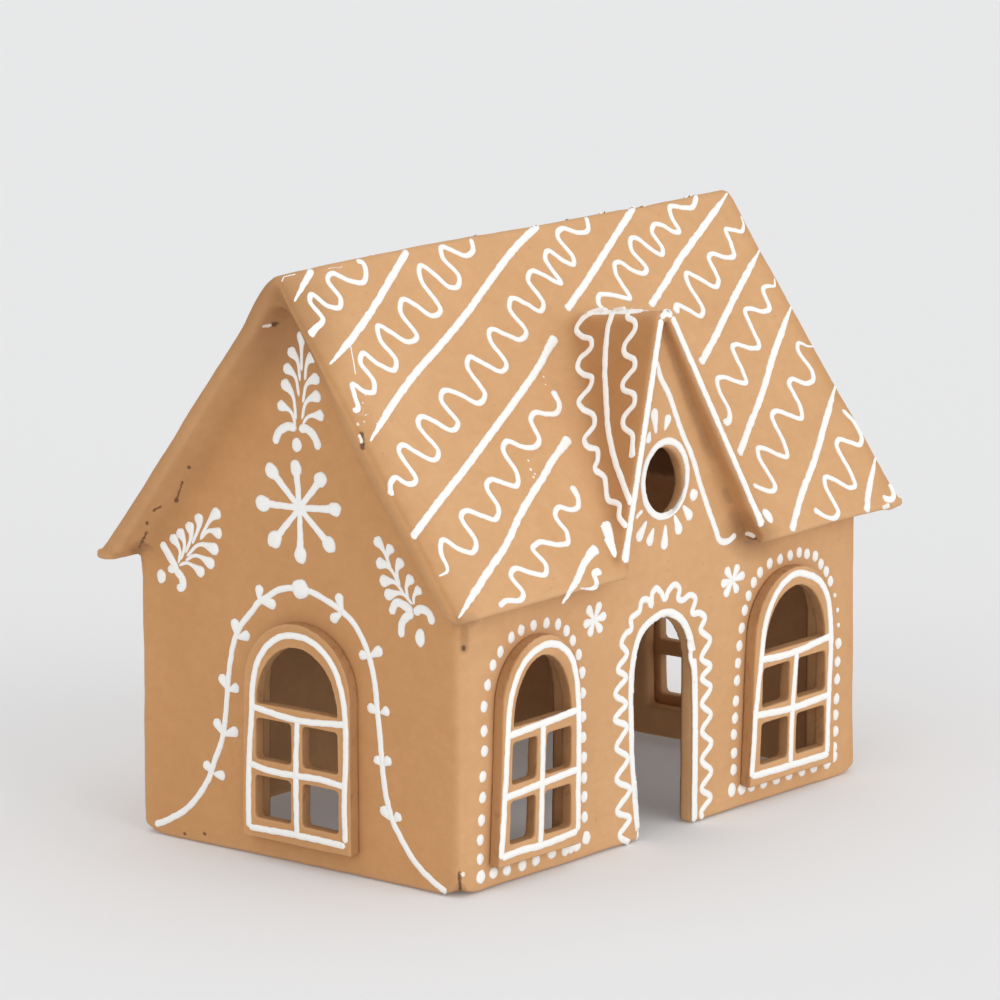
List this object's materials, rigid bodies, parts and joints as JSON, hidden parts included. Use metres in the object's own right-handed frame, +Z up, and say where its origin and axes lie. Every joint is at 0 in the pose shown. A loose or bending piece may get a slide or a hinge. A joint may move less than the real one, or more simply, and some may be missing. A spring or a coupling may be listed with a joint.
{
  "type": "gingerbread house ornament",
  "caption": "Hand-built clay gingerbread house: a hollow shell with steep roof, dormer, open doorway and arched window panels, piped with white slip.",
  "frame": {"origin": "on the ground under the middle of the roof, which is the bottom centre of the whole object", "axes": "+X to the right along the front wall, -Y out of the front wall with the door, +Z up"},
  "size_m": [0.2426, 0.1554, 0.1977],
  "materials": {
    "clay": "matt gingerbread-brown painted clay",
    "panel_clay": "matt gingerbread-brown painted clay, slightly rougher at the cut edges",
    "white_slip": "matt white raised slip, piped by hand"
  },
  "bodies": {
    "root": {"house_shell": "clay", "window_front_left": "panel_clay", "window_front_right": "panel_clay", "window_gable_left": "panel_clay", "window_gable_right": "panel_clay"}
  },
  "joints": []
}
